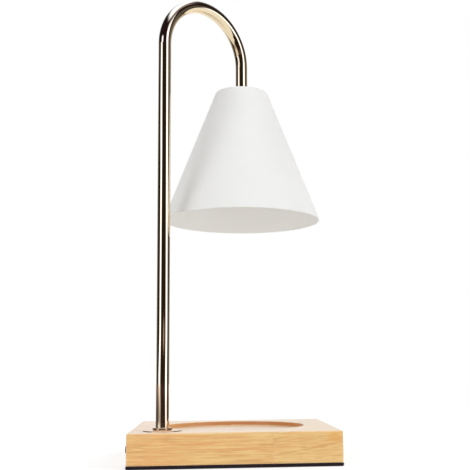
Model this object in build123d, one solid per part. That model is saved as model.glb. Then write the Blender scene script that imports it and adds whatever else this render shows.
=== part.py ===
from build123d import *
import os
from math import cos, pi, radians, sin, sqrt, tan

# Candle warmer lamp: a wooden block with a shallow seat for a candle jar, a hook-shaped tube that
# rises from one corner of the block, and a cone shade with a halogen reflector bulb above the seat.
# Millimetres. The origin is on the table under the middle of the base, +X right, +Y back, +Z up.

# ---------------------------------------------------------------- driving dimensions

# Fits
thread_gap = 0.05           # radial gap between an outer thread and its nut, hole or sleeve
hole_gap = 0.2              # radial gap of a tube, nipple or screw through a plain hole
seat_gap = 0.2              # gap between the bulb's base and the face of its holder
pin_gap = 0.3               # gap between the bulb's pins and what guides or touches them
pilot_spare = 0.5           # depth of a screw's hole past its tip
cut_past = 1.0              # how far a cut runs past the face that it opens

# Base block and the pad under it
base_length = 160.0         # along X
base_width = 160.0          # along Y
block_height = 23.5
pad_thickness = 2.5
pad_overhang = 0.5          # soft pad beyond the block, all round
pad_corner_radius = 3.0     # upright edges
pad_edge_radius = 0.6       # upper and lower edges
block_corner_radius = 1.2   # upright edges
block_top_radius = 1.0
block_bottom_radius = 0.6
recess_radius = 58.5        # seat for the candle jar
recess_depth = 4.0
recess_floor_radius = 1.5
recess_rim_radius = 0.5

# Wiring pocket, open at the block's underside
pocket_depth = 13.5
pocket_length = 60.5
pocket_width = 28.0
pocket_inset_x = 11.5       # wood left between the pocket and the block's left face
pocket_inset_y = 15.5       # wood left between the pocket and the block's front face
pocket_corner_radius = 6.0
cover_margin = 6.0          # cover plate beyond the pocket, all round
cover_corner_radius = 4.0
cover_thickness = 2.0
cover_fit = 0.25            # gap round the cover plate in its rebate
cover_screw_shift = 2.5     # screws stand this far outside the pocket's square corners
cover_screw_radius = 1.45
cover_screw_head_radius = 2.7
cover_screw_length = 10.0
screw_point_length = 1.5    # of the two kinds of wood screw
screw_point_radius = 0.3
slot_width = 0.7            # driver slot of every slotted head
slot_depth = 1.1

# Pole: a tube threaded outside at its foot and inside at its upper end
pole_inset_x = 25.0         # tube axis from the block's left face
pole_inset_y = 25.0         # tube axis from the block's front face
tube_radius = 5.0
tube_wall = 1.5
overall_height = 377.0
bend_radius = 41.25         # to the tube's axis
arch_angle = 40.25          # the hook points this many degrees from +X towards +Y
tail_length = 21.3          # straight tube below the hook's far end
foot_thread_spare = 0.5     # thread that shows below the lower nut
rim_round = 0.4             # radius of a thin disc's or shell's edge over its thickness

# Fasteners at the foot
pole_washer_radius = 14.5
pole_washer_thickness = 0.7
pole_nut_flats = 13.0
pole_nut_height = 2.0
pole_nut_top_radius = 6.2   # outer radius of the flat on top of the nut, inside its chamfer
under_washer_radius = 9.5
under_washer_thickness = 1.5
under_lock_thickness = 1.8
under_nut_height = 3.0
lock_ring_width = 2.4
lock_slit = 1.6
lock_slit_angle = 30.0

# Cord bushing in the left face, in line with the pole
bushing_ceiling_gap = 0.15  # between its barb and the pocket's ceiling
bushing_bore_radius = 1.9
bushing_neck_radius = 2.75
bushing_neck_length = 1.4
bushing_flange_radius = 4.4
bushing_flange_thickness = 1.2
bushing_shank_radius = 2.9
bushing_barb_height = 0.45
bushing_barb_length = 2.6
bushing_barb_land = 0.8     # length of the barb at its full radius
bushing_barb_taper = 0.5    # barb's tip inside the shank's radius
bushing_edge_radius = 0.5

# Terminal block
terminal_from_pole = 29.0   # block's middle from the tube's axis, along X
terminal_shift_y = 4.5      # block's middle from the tube's axis, along Y
terminal_length = 16.0      # along the wires
terminal_width = 19.0
terminal_height = 10.5
terminal_pitch = 8.5
terminal_axis_drop = 6.2    # wire axis below the pocket's ceiling
sleeve_radius = 2.4
sleeve_wall = 0.9
sleeve_length = 13.0
terminal_screw_radius = 1.3
terminal_screw_spacing = 7.0
terminal_screw_hole_radius = 1.8
terminal_tower_radius = 3.4
terminal_corner_radius = 1.0
terminal_skin = 0.6         # nylon below the sleeves
terminal_screw_sink = 0.8   # screw heads inside the towers' mouths
fixing_screw_radius = 1.3
fixing_screw_head_radius = 2.5
fixing_screw_head_height = 1.8
fixing_screw_head_edge = 0.7
fixing_shoulder = 3.0       # nylon between the fixing screw's head and the wood
fixing_screw_bite = 3.0     # how far the fixing screw goes into the wood

# Leads
lead_radius = 0.8
lead_offset = 0.95          # each lead's axis from the tube's axis
lead_insert = 4.0           # lead inside its terminal sleeve
lead_floor_clear = 1.0      # lead above the cover plate
lead_foot_bend = 4.5
lead_exit_bend = 8.0
lead_fan_bend = 5.0
lead_straight = 3.0         # straight lead past the sleeve and past the nipple
lead_rise = 4.5             # the leads' last bend above the lampholder
lead_crimp_start = 0.5      # lead's end above the foot of its crimp

# Shade
shade_top_radius = 22.0
shade_rim_radius = 66.0
shade_height = 111.5
shade_wall = 1.0
shade_shoulder_radius = 2.6
spacer_radius = 5.4
spacer_thickness = 1.2

# What clamps the shade and the lampholder to the tube
nipple_radius = 4.0
nipple_bore_radius = 2.9
nipple_insert = 12.0        # thread inside the tube
nipple_thread_spare = 1.0   # tube's inner thread past the nipple's end
nipple_spare = 0.6          # thread that shows below the nut
shade_lock_thickness = 1.2
shade_nut_flats = 12.0
shade_nut_height = 3.5
bracket_sheet = 1.0
bracket_width = 12.0
bracket_drop = 18.5         # from the shade's inner top to the lampholder
bracket_nut_gap = 0.15      # between each screw's nut and the bend beside it
bracket_foot = 8.2          # inward reach of each foot from the middle of its leg
bracket_bend = 1.5

# Lampholder: ceramic body with two twist-lock slots
holder_radius = 13.5
holder_height = 18.0
holder_edge = 1.0
holder_screw_reach = 9.3    # each screw's axis from the holder's axis
holder_screw_radius = 1.5
holder_screw_head_radius = 2.7
holder_screw_head_height = 2.0
holder_counterbore_gap = 0.3
holder_nut_flats = 5.5
holder_nut_height = 2.4
holder_screw_spare = 0.6    # thread that shows above each nut
holder_screw_head_edge = 0.5
holder_screw_tip_edge = 0.3
cavity_height = 7.0
cavity_overrun = 20.0       # degrees of cavity past the locked pin
wire_hole_radius = 1.6
contact_sheet = 0.35
contact_height = 5.0
contact_half_angle = 20.0
bridge_half_angle = 9.0     # strip that joins each contact to its crimp
crimp_wall = 0.45
crimp_length = 4.5

# Bulb: reflector lamp with a two-pin twist-lock base
bayonet_turn = 40.0         # degrees from locked to free
pin_circle_radius = 5.0
pin_shank_radius = 1.5
pin_shank_length = 4.5
pin_head_radius = 2.45
pin_head_height = 2.7
pin_head_edge = 0.5
pin_root = 3.8              # pin inside the bulb's base
bulb_length = 46.5          # without the pins
bulb_radius = 25.0
bulb_rim_height = 6.5
bulb_rim_edge = 0.5
bulb_base_height = 13.8
bulb_base_top_radius = 9.4
bulb_base_low_radius = 10.6
bulb_base_edge = 0.6
bulb_base_skirt = 2.0       # upright part below the taper
neck_radius = 8.0
neck_length = 5.0
reflector_wall = 1.5
throat_radius = 5.3
throat_step = 1.0           # throat's edge above the foot of the neck
flare_root = 1.8            # flare's outer start beyond the neck
flare_outer_radius = 17.8   # flare's outer and inner radius half way down
flare_inner_radius = 15.6
flare_outer_lift = 2.2      # how far those points stand above half way
flare_inner_lift = 1.2
lens_ledge = 1.0
lens_inset = 1.2            # lens behind the rim's edge
lens_thickness = 1.8
lens_edge_radius = 0.6
capsule_radius = 4.6
capsule_length = 26.0
capsule_wall = 0.8
capsule_dome = 0.7          # radius of the domed end over the capsule's radius
capsule_foot = 9.0          # solid quartz round the legs
capsule_root = 4.0          # capsule above the reflector's neck
filament_radius = 0.7
filament_wire = 0.3
filament_length = 5.0
filament_drop = 5.0         # coil below the capsule's solid foot
filament_leg_radius = 0.25
filament_leg_gap = 1.2      # far leg beyond the coil

# ---------------------------------------------------------------- derived places

block_bottom = pad_thickness
block_top = block_bottom + block_height
recess_floor = block_top - recess_depth
pocket_ceiling = block_bottom + pocket_depth
cover_top = block_bottom + cover_thickness

pocket_left = -base_length / 2 + pocket_inset_x
pocket_front = -base_width / 2 + pocket_inset_y
pocket_x = pocket_left + pocket_length / 2
pocket_y = pocket_front + pocket_width / 2

pole_x = -base_length / 2 + pole_inset_x
pole_y = -base_width / 2 + pole_inset_y
tube_bore = tube_radius - tube_wall
spring_z = overall_height - tube_radius - bend_radius
under_stack = under_washer_thickness + under_lock_thickness + under_nut_height
tube_foot = pocket_ceiling - under_stack - foot_thread_spare
tube_end = spring_z - tail_length

# Unit vectors along the hook and across it
along = Vector(cos(radians(arch_angle)), sin(radians(arch_angle)), 0)
across = Vector(-along.Y, along.X, 0)
pole_axis = Vector(pole_x, pole_y, 0)
shade_axis = pole_axis + along * (2 * bend_radius)
shade_frame = Location((shade_axis.X, shade_axis.Y, 0), (0, 0, arch_angle))

shade_top = tube_end - spacer_thickness
shade_rim = shade_top - shade_height
shade_ceiling = shade_top - shade_wall
nut_seat = shade_ceiling - bracket_sheet - shade_lock_thickness
nipple_end = nut_seat - shade_nut_height - nipple_spare
bracket_bend_start = holder_screw_reach + holder_nut_flats / 2 + bracket_nut_gap
bracket_leg = bracket_bend_start + bracket_bend     # middle of each leg's sheet from the axis
holder_top = shade_ceiling - bracket_drop
holder_face = holder_top - holder_height

bulb_top = holder_face - seat_gap
bulb_front = bulb_top - bulb_length
pin_head_z = bulb_top + pin_shank_length
cavity_floor = pin_head_z - pin_gap
cavity_roof = cavity_floor + cavity_height
cavity_half_width = pin_head_radius + 2 * pin_gap + contact_sheet
locked_angle = 90.0
free_angle = locked_angle - bayonet_turn

bushing_barb_radius = bushing_shank_radius + bushing_barb_height
bushing_z = pocket_ceiling - bushing_barb_radius - bushing_ceiling_gap

terminal_x = pole_x + terminal_from_pole
terminal_y = pole_y + terminal_shift_y
terminal_z = pocket_ceiling - terminal_axis_drop
terminal_low = pocket_ceiling - terminal_height
terminal_left = terminal_x - terminal_length / 2

BOTTOM = (Align.CENTER, Align.CENTER, Align.MIN)

# ---------------------------------------------------------------- shared shapes


def rod(radius, low, high):
    """Upright cylinder on the Z axis between two heights."""
    return Pos(0, 0, low) * Cylinder(radius, high - low, align=BOTTOM)


def ring(outer, inner, low, high):
    """Upright flat ring on the Z axis between two heights."""
    return rod(outer, low, high) - rod(inner, low - cut_past, high + cut_past)


def turned(outline):
    """Solid turned about the Z axis from the (radius, height) corners of its half section."""
    return revolve(make_face(Polyline([(r, 0, z) for r, z in outline], close=True)), Axis.Z)


def hex_nut(flats, low, high, hole, top_radius=None):
    """Hexagon nut, a flat towards -Y, both faces chamfered at 30 degrees down to a round flat."""
    prism = Pos(0, 0, low) * extrude(RegularPolygon(flats / 2, 6, major_radius=False), high - low)
    corner = flats / sqrt(3)
    face = flats / 2
    top_face = top_radius or face
    slope = tan(radians(30))
    cone = turned([
        (0, low), (face, low), (corner, low + (corner - face) * slope),
        (corner, high - (corner - top_face) * slope), (top_face, high), (0, high),
    ])
    return (prism & cone) - rod(hole, low - cut_past, high + cut_past)


def lock_ring(inner, low, high):
    """Spring washer: a square-section ring with one slit."""
    whole = ring(inner + lock_ring_width, inner, low, high)
    slit = Pos(inner + lock_ring_width / 2, 0, low) * Box(
        2 * lock_ring_width, lock_slit, 2 * (high - low)
    )
    return whole - Rot(0, 0, lock_slit_angle) * slit


def plate(length, width, corner, low, high):
    """Upright prism on a rounded rectangle about the Z axis."""
    return Pos(0, 0, low) * extrude(RectangleRounded(length, width, corner), high - low)


def sector(inner, outer, start, end, low, high):
    """Curved strip between two radii and two angles in degrees."""
    arc_out = CenterArc((0, 0), outer, start, end - start)
    arc_in = CenterArc((0, 0), inner, start, end - start)
    sides = [Line(arc_out @ 0, arc_in @ 0), Line(arc_out @ 1, arc_in @ 1)]
    return Pos(0, 0, low) * extrude(make_face([arc_out, arc_in, *sides]), high - low)


def arc_slot(half_width, start, end, low, high):
    """Slot along the pin circle between two angles, round at both ends."""
    middle = CenterArc((0, 0), pin_circle_radius, start, end - start)
    return Pos(0, 0, low) * extrude(SlotArc(middle, 2 * half_width), high - low)


def driver_slot(head_radius, face):
    """Cutter for a driver slot across a head whose face looks down at the given height."""
    return Pos(0, 0, face - slot_depth) * Box(
        2 * head_radius + cut_past, slot_width, 2 * slot_depth, align=BOTTOM
    )


def at_pole(shape):
    return Pos(pole_x, pole_y, 0) * shape


def at_shade(shape):
    return shade_frame * shape


def both_pins(shape):
    """A shape and its copy half a turn round the shade's axis."""
    return [shape, Rot(0, 0, 180) * shape]


# ---------------------------------------------------------------- base


def cover_screw_places():
    reach_x = pocket_length / 2 + cover_screw_shift
    reach_y = pocket_width / 2 + cover_screw_shift
    return [(pocket_x + sx * reach_x, pocket_y + sy * reach_y) for sx in (-1, 1) for sy in (-1, 1)]


def base_block():
    block = Pos(0, 0, block_bottom) * Box(base_length, base_width, block_height, align=BOTTOM)
    block = fillet(block.edges().filter_by(Axis.Z), block_corner_radius)
    block = fillet(block.faces().sort_by(Axis.Z)[-1].edges(), block_top_radius)
    block = fillet(block.faces().sort_by(Axis.Z)[0].edges(), block_bottom_radius)

    block -= rod(recess_radius, recess_floor, block_top + cut_past)
    rims = block.edges().filter_by(GeomType.CIRCLE)
    rims = ShapeList(e for e in rims if abs(e.radius - recess_radius) < 0.001).sort_by(Axis.Z)
    block = fillet(rims[0], recess_floor_radius)
    rims = block.edges().filter_by(GeomType.CIRCLE)
    rims = ShapeList(e for e in rims if abs(e.radius - recess_radius) < 0.001).sort_by(Axis.Z)
    block = fillet(rims[-1], recess_rim_radius)

    pocket = plate(pocket_length, pocket_width, pocket_corner_radius, 0, pocket_ceiling)
    rebate = plate(
        pocket_length + 2 * cover_margin + 2 * cover_fit,
        pocket_width + 2 * cover_margin + 2 * cover_fit,
        cover_corner_radius + cover_fit, 0, cover_top,
    )
    block -= Pos(pocket_x, pocket_y, 0) * (pocket + rebate)
    block -= at_pole(rod(tube_radius + hole_gap, pocket_ceiling - cut_past, block_top + cut_past))
    block -= bushing_frame() * rod(
        bushing_shank_radius + thread_gap, -cut_past, pocket_inset_x + cut_past
    )

    pilot = rod(cover_screw_radius + thread_gap, 0, block_bottom + cover_screw_length + pilot_spare)
    for x, y in cover_screw_places():
        block -= Pos(x, y, 0) * pilot
    fixing_pilot = rod(
        fixing_screw_radius + thread_gap, pocket_ceiling - cut_past,
        pocket_ceiling + fixing_screw_bite + pilot_spare,
    )
    return block - Pos(terminal_x, terminal_y, 0) * fixing_pilot


def base_pad():
    """Soft sheet under the whole block, its edges rounded and a little proud of the wood."""
    pad = plate(
        base_length + 2 * pad_overhang, base_width + 2 * pad_overhang, pad_corner_radius,
        0, pad_thickness,
    )
    faces = pad.faces().sort_by(Axis.Z)
    return fillet([*faces[0].edges(), *faces[-1].edges()], pad_edge_radius)


def screw_head_depth():
    """Height of a 90-degree countersunk head."""
    return cover_screw_head_radius - cover_screw_radius


def base_cover():
    cover = Pos(pocket_x, pocket_y, 0) * plate(
        pocket_length + 2 * cover_margin, pocket_width + 2 * cover_margin,
        cover_corner_radius, block_bottom, cover_top,
    )
    wide = cover_screw_head_radius + thread_gap
    narrow = cover_screw_radius + thread_gap
    sink = turned([
        (0, block_bottom - cut_past), (wide, block_bottom - cut_past), (wide, block_bottom),
        (narrow, block_bottom + wide - narrow), (narrow, cover_top + cut_past),
        (0, cover_top + cut_past),
    ])
    for x, y in cover_screw_places():
        cover -= Pos(x, y, 0) * sink
    return cover


def cover_screws():
    tip = block_bottom + cover_screw_length
    screw = turned([
        (0, block_bottom), (cover_screw_head_radius, block_bottom),
        (cover_screw_radius, block_bottom + screw_head_depth()),
        (cover_screw_radius, tip - screw_point_length), (screw_point_radius, tip), (0, tip),
    ])
    screw -= driver_slot(cover_screw_head_radius, block_bottom)
    return [Pos(x, y, 0) * screw for x, y in cover_screw_places()]


def bushing_frame():
    """Frame on the block's left face, its +Z pointing into the wood."""
    return Location(Plane(
        origin=(-base_length / 2, pole_y, bushing_z), x_dir=(0, 1, 0), z_dir=(1, 0, 0)
    ))


def cord_bushing():
    """Snap-in rubber bushing: thin flange with a short neck outside, barb inside the pocket."""
    flange = -bushing_flange_thickness
    mouth = flange - bushing_neck_length
    barb = bushing_barb_radius
    inner = pocket_inset_x
    end = inner + bushing_barb_length
    body = turned([
        (bushing_bore_radius, mouth), (bushing_neck_radius, mouth), (bushing_neck_radius, flange),
        (bushing_flange_radius, flange), (bushing_flange_radius, 0), (bushing_shank_radius, 0),
        (bushing_shank_radius, inner), (barb, inner), (barb, inner + bushing_barb_land),
        (bushing_shank_radius - bushing_barb_taper, end), (bushing_bore_radius, end),
    ])
    outer_rims = body.edges().filter_by(GeomType.CIRCLE).sort_by(Axis.Z)
    neck_rim = ShapeList(e for e in outer_rims if abs(e.radius - bushing_neck_radius) < 0.001)[0]
    flange_rim = ShapeList(e for e in outer_rims if abs(e.radius - bushing_flange_radius) < 0.001)[0]
    body = fillet([neck_rim, flange_rim], bushing_edge_radius)
    return bushing_frame() * body


# ---------------------------------------------------------------- terminals


def terminal_rows():
    return [terminal_y + side * terminal_pitch / 2 for side in (-1, 1)]


def terminal_block():
    """Two-pole strip: a slab on the pocket's ceiling with a round tower over each clamping screw."""
    slab_low = terminal_z - sleeve_radius - terminal_skin
    block = Pos(terminal_x, terminal_y, slab_low) * Box(
        terminal_length, terminal_width, pocket_ceiling - slab_low, align=BOTTOM
    )
    block = fillet(block.edges().filter_by(Axis.Z), terminal_corner_radius)
    for y in terminal_rows():
        for x in terminal_screw_xs():
            block += Pos(x, y, 0) * rod(terminal_tower_radius, terminal_low, slab_low + terminal_skin)
    for y in terminal_rows():
        channel = Plane.YZ * Pos(y, terminal_z) * Circle(sleeve_radius + thread_gap)
        block -= Pos(terminal_x, 0, 0) * extrude(channel, terminal_length, both=True)
        for x in terminal_screw_xs():
            hole = rod(terminal_screw_hole_radius, terminal_low - cut_past, terminal_z)
            block -= Pos(x, y, 0) * hole
    wide = fixing_screw_head_radius + hole_gap
    narrow = fixing_screw_radius + hole_gap
    return block - Pos(terminal_x, terminal_y, 0) * turned([
        (0, terminal_low - cut_past), (wide, terminal_low - cut_past), (wide, fixing_head_z()),
        (narrow, fixing_head_z()), (narrow, pocket_ceiling + cut_past),
        (0, pocket_ceiling + cut_past),
    ])


def terminal_screw_xs():
    return [terminal_x + side * terminal_screw_spacing / 2 for side in (-1, 1)]


def fixing_head_z():
    """Height of the shoulder that the fixing screw's head pulls against."""
    return pocket_ceiling - fixing_shoulder


def terminal_sleeves():
    sleeves = []
    for y in terminal_rows():
        tube = Circle(sleeve_radius) - Circle(sleeve_radius - sleeve_wall)
        sleeve = extrude(Plane.YZ * Pos(y, terminal_z) * tube, sleeve_length / 2, both=True)
        sleeve = Pos(terminal_x, 0, 0) * sleeve
        for x in terminal_screw_xs():
            hole = rod(terminal_screw_radius + thread_gap, terminal_low, terminal_z)
            sleeve -= Pos(x, y, 0) * hole
        sleeves.append(sleeve)
    return sleeves


def terminal_screws():
    """Clamping screws, each with its tip on the lead or, on the cord's side, at the same height."""
    face = terminal_low + terminal_screw_sink
    tip = terminal_z - lead_radius - thread_gap
    screw = rod(terminal_screw_radius, face, tip) - driver_slot(terminal_screw_radius, face)
    return [Pos(x, y, 0) * screw for y in terminal_rows() for x in terminal_screw_xs()]


def terminal_fixing_screw():
    seat = fixing_head_z()
    face = seat - fixing_screw_head_height
    tip = pocket_ceiling + fixing_screw_bite
    screw = turned([
        (0, face), (fixing_screw_head_radius - fixing_screw_head_edge, face),
        (fixing_screw_head_radius, face + fixing_screw_head_edge), (fixing_screw_head_radius, seat),
        (fixing_screw_radius, seat), (fixing_screw_radius, tip - screw_point_length),
        (screw_point_radius, tip), (0, tip),
    ])
    return Pos(terminal_x, terminal_y, 0) * (screw - driver_slot(fixing_screw_head_radius, face))


# ---------------------------------------------------------------- pole and its fasteners


def pole_tube():
    """One tube along the straight pole, the half-circle hook and the short tail."""
    foot = Vector(pole_x, pole_y, tube_foot)
    spring = Vector(pole_x, pole_y, spring_z)
    crown = pole_axis + along * bend_radius + Vector(0, 0, spring_z + bend_radius)
    fall = shade_axis + Vector(0, 0, spring_z)
    tail = shade_axis + Vector(0, 0, tube_end)
    path = Wire([Line(foot, spring), ThreePointArc(spring, crown, fall), Line(fall, tail)])
    section = Circle(tube_radius) - Circle(tube_bore)
    tube = sweep(Plane(foot, z_dir=(0, 0, 1)) * section, path)
    thread_top = tube_end + nipple_insert + nipple_thread_spare
    tube -= at_shade(rod(nipple_radius + thread_gap, tube_end - cut_past, thread_top))
    return tube


def pole_washer():
    disc = ring(
        pole_washer_radius, tube_radius + hole_gap, block_top, block_top + pole_washer_thickness
    )
    top = disc.faces().sort_by(Axis.Z)[-1].edges()
    rim = ShapeList(e for e in top if abs(e.radius - pole_washer_radius) < 0.001)
    return at_pole(fillet(rim, rim_round * pole_washer_thickness))


def pole_nut():
    """Low nut that shows on the block, its upper side chamfered a little past the flats."""
    low = block_top + pole_washer_thickness
    high = low + pole_nut_height
    return at_pole(
        hex_nut(pole_nut_flats, low, high, tube_radius + thread_gap, pole_nut_top_radius)
    )


def pole_under_washer():
    low = pocket_ceiling - under_washer_thickness
    return at_pole(ring(under_washer_radius, tube_radius + hole_gap, low, pocket_ceiling))


def pole_lock_washer():
    high = pocket_ceiling - under_washer_thickness
    return at_pole(lock_ring(tube_radius + hole_gap, high - under_lock_thickness, high))


def pole_under_nut():
    high = pocket_ceiling - under_washer_thickness - under_lock_thickness
    low = high - under_nut_height
    return at_pole(hex_nut(pole_nut_flats, low, high, tube_radius + thread_gap))


# ---------------------------------------------------------------- shade and its clamp


def shade():
    """Spun cone with a flat closed top and a rounded shoulder, open below."""
    cone = turned([
        (0, shade_rim), (shade_rim_radius, shade_rim), (shade_top_radius, shade_top), (0, shade_top)
    ])
    cone = fillet(cone.edges().sort_by(Axis.Z)[-1], shade_shoulder_radius)
    mouth = cone.faces().sort_by(Axis.Z)[0]
    shell = offset(cone, -shade_wall, openings=mouth)
    shell -= rod(nipple_radius + hole_gap, shade_ceiling - cut_past, shade_top + cut_past)
    rim = shell.faces().sort_by(Axis.Z)[0].edges()
    return at_shade(fillet(rim, rim_round * shade_wall))


def shade_spacer():
    return at_shade(ring(spacer_radius, nipple_radius + hole_gap, shade_top, tube_end))


def shade_nipple():
    """Hollow threaded rod that joins the tube to the shade and carries the leads through."""
    return at_shade(ring(nipple_radius, nipple_bore_radius, nipple_end, tube_end + nipple_insert))


def shade_lock_washer():
    high = shade_ceiling - bracket_sheet
    return at_shade(lock_ring(nipple_radius + hole_gap, high - shade_lock_thickness, high))


def shade_nut():
    low = nut_seat - shade_nut_height
    return at_shade(hex_nut(shade_nut_flats, low, nut_seat, nipple_radius + thread_gap))


def holder_bracket():
    """Bent strap: a web under the shade's top, two legs and two inward feet on the holder."""
    mid = bracket_sheet / 2
    leg = bracket_leg
    toe = bracket_leg - bracket_foot
    web_z = shade_ceiling - mid
    foot_z = holder_top + mid
    left = [(-toe, foot_z), (-leg, foot_z), (-leg, web_z)]
    right = [(leg, web_z), (leg, foot_z), (toe, foot_z)]
    line = FilletPolyline([(x, 0, z) for x, z in left + right], radius=bracket_bend)
    end = Plane(line @ 0, x_dir=(0, 1, 0), z_dir=line % 0)
    strap = sweep(end * Rectangle(bracket_width, bracket_sheet), line)
    web_under = shade_ceiling - bracket_sheet
    strap -= rod(nipple_radius + hole_gap, web_under - cut_past, shade_ceiling + cut_past)
    foot_top = holder_top + bracket_sheet
    hole = rod(holder_screw_radius + hole_gap, holder_top - cut_past, foot_top + cut_past)
    for side in (-1, 1):
        strap -= Pos(side * holder_screw_reach, 0, 0) * hole
    return at_shade(strap)


# ---------------------------------------------------------------- lampholder


def lampholder():
    """Ceramic body: each pin enters a round hole, turns along a slot and its head sits in a cavity."""
    body = rod(holder_radius, holder_face, holder_top)
    body = chamfer(body.edges().filter_by(GeomType.CIRCLE), holder_edge)
    below = holder_face - cut_past
    inside = cavity_floor + cut_past
    entry = Rot(0, 0, free_angle) * Pos(pin_circle_radius, 0, 0) * rod(
        pin_head_radius + pin_gap, below, inside
    )
    slit = arc_slot(pin_shank_radius + hole_gap, free_angle, locked_angle, below, inside)
    cavity = arc_slot(
        cavity_half_width, free_angle, locked_angle + cavity_overrun, cavity_floor, cavity_roof
    )
    wire = Pos(0, pin_circle_radius, 0) * rod(
        wire_hole_radius, cavity_roof - cut_past, holder_top + cut_past
    )
    for cut in (entry, slit, cavity, wire):
        for copy in both_pins(cut):
            body -= copy
    wide = holder_screw_head_radius + holder_counterbore_gap
    narrow = holder_screw_radius + hole_gap
    seat = holder_screw_seat()
    bolt = turned([
        (0, below), (wide, below), (wide, seat), (narrow, seat),
        (narrow, holder_top + cut_past), (0, holder_top + cut_past),
    ])
    for side in (-1, 1):
        body -= Pos(side * holder_screw_reach, 0, 0) * bolt
    return at_shade(body)


def holder_screw_seat():
    """Height of the shoulder inside each counterbore of the lampholder."""
    return holder_face + holder_screw_head_height + holder_counterbore_gap


def holder_contacts():
    """Spring strip beside each pin head, joined over the cavity to a crimp round the lead."""
    outer = pin_circle_radius + cavity_half_width - thread_gap
    roof = cavity_roof - contact_sheet
    strip = sector(
        outer - contact_sheet, outer, locked_angle - contact_half_angle,
        locked_angle + contact_half_angle, roof - contact_height, cavity_roof,
    )
    reach = pin_circle_radius - lead_radius - crimp_wall
    bridge = sector(
        reach, outer, locked_angle - bridge_half_angle, locked_angle + bridge_half_angle,
        roof, cavity_roof,
    )
    barrel_radius = lead_radius + thread_gap + crimp_wall
    crimp = Pos(0, pin_circle_radius, 0) * ring(
        barrel_radius, lead_radius + thread_gap, cavity_roof, cavity_roof + crimp_length
    )
    return [at_shade(copy) for copy in both_pins(strip + bridge + crimp)]


def holder_screws():
    seat = holder_screw_seat()
    face = seat - holder_screw_head_height
    tip = holder_top + bracket_sheet + holder_nut_height + holder_screw_spare
    screw = turned([
        (0, face), (holder_screw_head_radius - holder_screw_head_edge, face),
        (holder_screw_head_radius, face + holder_screw_head_edge), (holder_screw_head_radius, seat),
        (holder_screw_radius, seat), (holder_screw_radius, tip - holder_screw_tip_edge),
        (holder_screw_radius - holder_screw_tip_edge, tip), (0, tip),
    ])
    screw -= driver_slot(holder_screw_head_radius, face)
    return [at_shade(Pos(side * holder_screw_reach, 0, 0) * screw) for side in (-1, 1)]


def holder_nuts():
    low = holder_top + bracket_sheet
    nut = hex_nut(holder_nut_flats, low, low + holder_nut_height, holder_screw_radius + thread_gap)
    flat_to_leg = Rot(0, 0, 90)
    return [
        at_shade(Pos(side * holder_screw_reach, 0, 0) * flat_to_leg * nut) for side in (-1, 1)
    ]


# ---------------------------------------------------------------- leads


def lead(side):
    """One lead from its terminal, under the tube's foot, through the tube and into its contact."""
    shift = across * (side * lead_offset)
    row_y = terminal_y + side * terminal_pitch / 2
    turn_z = cover_top + lead_floor_clear + lead_radius
    start = Vector(terminal_left + lead_insert, row_y, terminal_z)
    out = Vector(terminal_left - lead_straight, row_y, terminal_z)
    under = pole_axis + shift + Vector(0, 0, turn_z)
    spring = pole_axis + shift + Vector(0, 0, spring_z)
    crown = pole_axis + along * bend_radius + shift + Vector(0, 0, spring_z + bend_radius)
    fall = shade_axis + shift + Vector(0, 0, spring_z)
    fan = shade_axis + shift + Vector(0, 0, nipple_end - lead_straight)
    pin = shade_axis + across * (side * pin_circle_radius)
    above = pin + Vector(0, 0, holder_top + lead_rise)
    crimped = pin + Vector(0, 0, cavity_roof + lead_crimp_start)

    foot_run = FilletPolyline(start, out, under, spring, radius=[lead_exit_bend, lead_foot_bend])
    hook_run = ThreePointArc(spring, crown, fall)
    head_run = FilletPolyline(fall, fan, above, crimped, radius=lead_fan_bend)
    path = Wire([*foot_run.edges(), hook_run, *head_run.edges()])
    tube = sweep(Plane(start, z_dir=path % 0) * Circle(lead_radius), path)
    print(f"lead {side:+d}: length {path.length:.1f} mm, volume over section "
          f"{tube.volume / (pi * lead_radius ** 2):.1f} mm, bends "
          f"{lead_exit_bend}, {lead_foot_bend}, {bend_radius}, {lead_fan_bend} mm")
    return tube


# ---------------------------------------------------------------- bulb


def bulb_base():
    """Ceramic base, holding the pins above and the glass neck and the capsule below."""
    low = bulb_top - bulb_base_height
    neck = neck_radius + thread_gap
    post = capsule_radius + thread_gap
    base = turned([
        (0, bulb_top), (bulb_base_top_radius - bulb_base_edge, bulb_top),
        (bulb_base_top_radius, bulb_top - bulb_base_edge),
        (bulb_base_low_radius, low + bulb_base_skirt), (bulb_base_low_radius, low), (neck, low),
        (neck, low + neck_length), (post, low + neck_length), (post, capsule_top()),
        (0, capsule_top()),
    ])
    root = rod(pin_shank_radius + thread_gap, bulb_top - pin_root, bulb_top + cut_past)
    for copy in both_pins(Pos(0, pin_circle_radius, 0) * root):
        base -= copy
    return at_shade(base)


def bulb_pins():
    """Stepped pins: a slim shank and a wide flat head that hangs behind the holder's slot."""
    top = pin_head_z + pin_head_height
    pin = turned([
        (0, bulb_top - pin_root), (pin_shank_radius, bulb_top - pin_root),
        (pin_shank_radius, pin_head_z), (pin_head_radius, pin_head_z),
        (pin_head_radius, top - pin_head_edge), (pin_head_radius - pin_head_edge, top), (0, top),
    ])
    return [at_shade(copy) for copy in both_pins(Pos(0, pin_circle_radius, 0) * pin)]


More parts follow.
